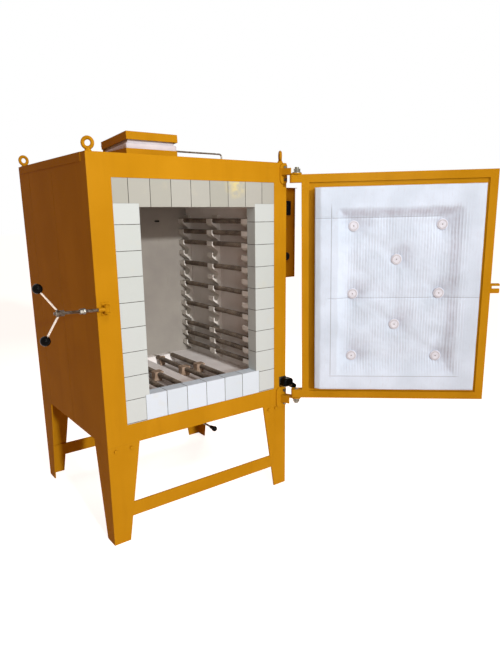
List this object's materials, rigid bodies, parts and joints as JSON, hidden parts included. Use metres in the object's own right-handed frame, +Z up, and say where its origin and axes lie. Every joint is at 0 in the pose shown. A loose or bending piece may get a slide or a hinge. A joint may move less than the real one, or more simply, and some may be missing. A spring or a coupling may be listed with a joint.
{
  "type": "electric kiln",
  "caption": "Front-loading electric kiln on four legs: brick-lined chamber, side-hung padded door, swing clamp, roof vent and side control box.",
  "frame": {"origin": "on the floor, under the middle of the whole kiln's footprint with the door standing open as pictured", "axes": "+X to the right as seen from the front, +Y from the front face towards the back, +Z up"},
  "size_m": [1.9876, 1.6922, 1.8101],
  "materials": {
    "paint": "satin enamel",
    "brick": "matt insulating brick",
    "board": "matt fibre board",
    "ceramic": "matt fired ceramic",
    "element": "oxidised resistance wire",
    "saddle": "matt fired clay",
    "fibre": "soft ceramic fibre blanket",
    "steel": "plated",
    "black": "glossy moulded",
    "grey_plastic": "matt moulded"
  },
  "bodies": {
    "kiln": {"front_frame": "paint", "left_panel": "paint", "right_panel": "paint", "back_panel": "paint", "top_cover": "paint", "bottom_tray": "paint", "leg_front_left": "paint", "leg_front_right": "paint", "leg_rear_left": "paint", "leg_rear_right": "paint", "leg_stretchers": "paint", "leg_bolts": "steel", "facing_columns": "brick", "facing_lintel": "brick", "facing_sill": "brick", "lining_boards": "board", "lining_back": "board", "hearth": "board", "backup_insulation": "fibre", "holders_left": "ceramic", "holders_right": "ceramic", "heating_elements": "element", "element_saddles": "saddle", "thermocouple": "ceramic", "lifting_eyes": "paint", "vent_collar": "paint", "vent_fibre": "fibre", "inlet_duct": "paint", "terminal_cover": "paint", "control_box": "paint", "control_panel": "paint", "controller": "black", "cable_gland": "grey_plastic", "door_switch": "black", "switch_bracket": "steel", "switch_sensor": "black", "hinge_arms": "paint", "hinge_bolts": "steel", "clamp_bracket": "paint"},
    "door": {"door_frame": "paint", "door_skin": "paint", "door_pad": "fibre", "pad_buttons": "ceramic", "door_fork": "paint"},
    "vent_lid": {"vent_lid": "paint", "lid_fibre": "fibre", "lid_rod": "paint"},
    "damper": {"damper": "steel", "damper_knob": "black"},
    "clamp_trunnion": {"clamp_trunnion": "steel"},
    "clamp_collar": {"clamp_collar": "steel"},
    "clamp_spindle": {"clamp_spindle": "steel", "clamp_balls": "black"},
    "controller_key_1": {"controller_key_1": "black"},
    "controller_key_2": {"controller_key_2": "black"},
    "controller_key_3": {"controller_key_3": "black"},
    "controller_key_4": {"controller_key_4": "black"},
    "power_rocker": {"power_rocker": "grey_plastic"},
    "setting_knob": {"setting_knob": "black"}
  },
  "joints": [
    {"name": "door_hinge", "type": "hinge", "parent": "kiln", "child": "door", "pos_m": [0.25642, -0.19089, 0.5144], "axis": [-0.0071, 0.0028, 1], "range_deg": [-137.3, 32]},
    {"name": "vent_hinge", "type": "hinge", "parent": "kiln", "child": "vent_lid", "pos_m": [-0.31998, 0.46311, 1.7715], "axis": [-1, 0, 0], "range_deg": [0, 55]},
    {"name": "damper_slide", "type": "slide", "parent": "kiln", "child": "damper", "axis": [0, -1, 0], "range_m": [0, 0.1]},
    {"name": "clamp_swing", "type": "hinge", "parent": "kiln", "child": "clamp_trunnion", "pos_m": [-0.71998, -0.13389, 1.0755], "axis": [0, 0, 1], "range_deg": [-2, 99]},
    {"name": "clamp_travel", "type": "slide", "parent": "clamp_trunnion", "child": "clamp_collar", "axis": [-0.9877, 0.1564, 0], "range_m": [-0.0027, 0.008]},
    {"name": "clamp_turn", "type": "hinge", "parent": "clamp_collar", "child": "clamp_spindle", "pos_m": [-0.71998, -0.13389, 1.0755], "axis": [-0.9877, 0.1564, 0], "range_deg": [-555.4, 1645.7]},
    {"name": "power_rocker_tilt", "type": "hinge", "parent": "kiln", "child": "power_rocker", "pos_m": [0.32702, -0.00389, 1.367], "axis": [1, 0, 0], "range_deg": [-16, 0]},
    {"name": "setting_knob_turn", "type": "hinge", "parent": "kiln", "child": "setting_knob", "pos_m": [0.32702, -0.00689, 1.228], "axis": [0, -1, 0], "range_deg": [-140, 140]},
    {"name": "controller_key_1_press", "type": "slide", "parent": "kiln", "child": "controller_key_1", "axis": [0, 1, 0], "range_m": [0, 0.0006], "stiffness_N_per_m": 800, "springref_m": -0.0006},
    {"name": "controller_key_2_press", "type": "slide", "parent": "kiln", "child": "controller_key_2", "axis": [0, 1, 0], "range_m": [0, 0.0006], "stiffness_N_per_m": 800, "springref_m": -0.0006},
    {"name": "controller_key_3_press", "type": "slide", "parent": "kiln", "child": "controller_key_3", "axis": [0, 1, 0], "range_m": [0, 0.0006], "stiffness_N_per_m": 800, "springref_m": -0.0006},
    {"name": "controller_key_4_press", "type": "slide", "parent": "kiln", "child": "controller_key_4", "axis": [0, 1, 0], "range_m": [0, 0.0006], "stiffness_N_per_m": 800, "springref_m": -0.0006}
  ],
  "couplings": [
    {"joint": "clamp_travel", "follows": "clamp_turn", "m_per_rad": 0.00027852}
  ]
}
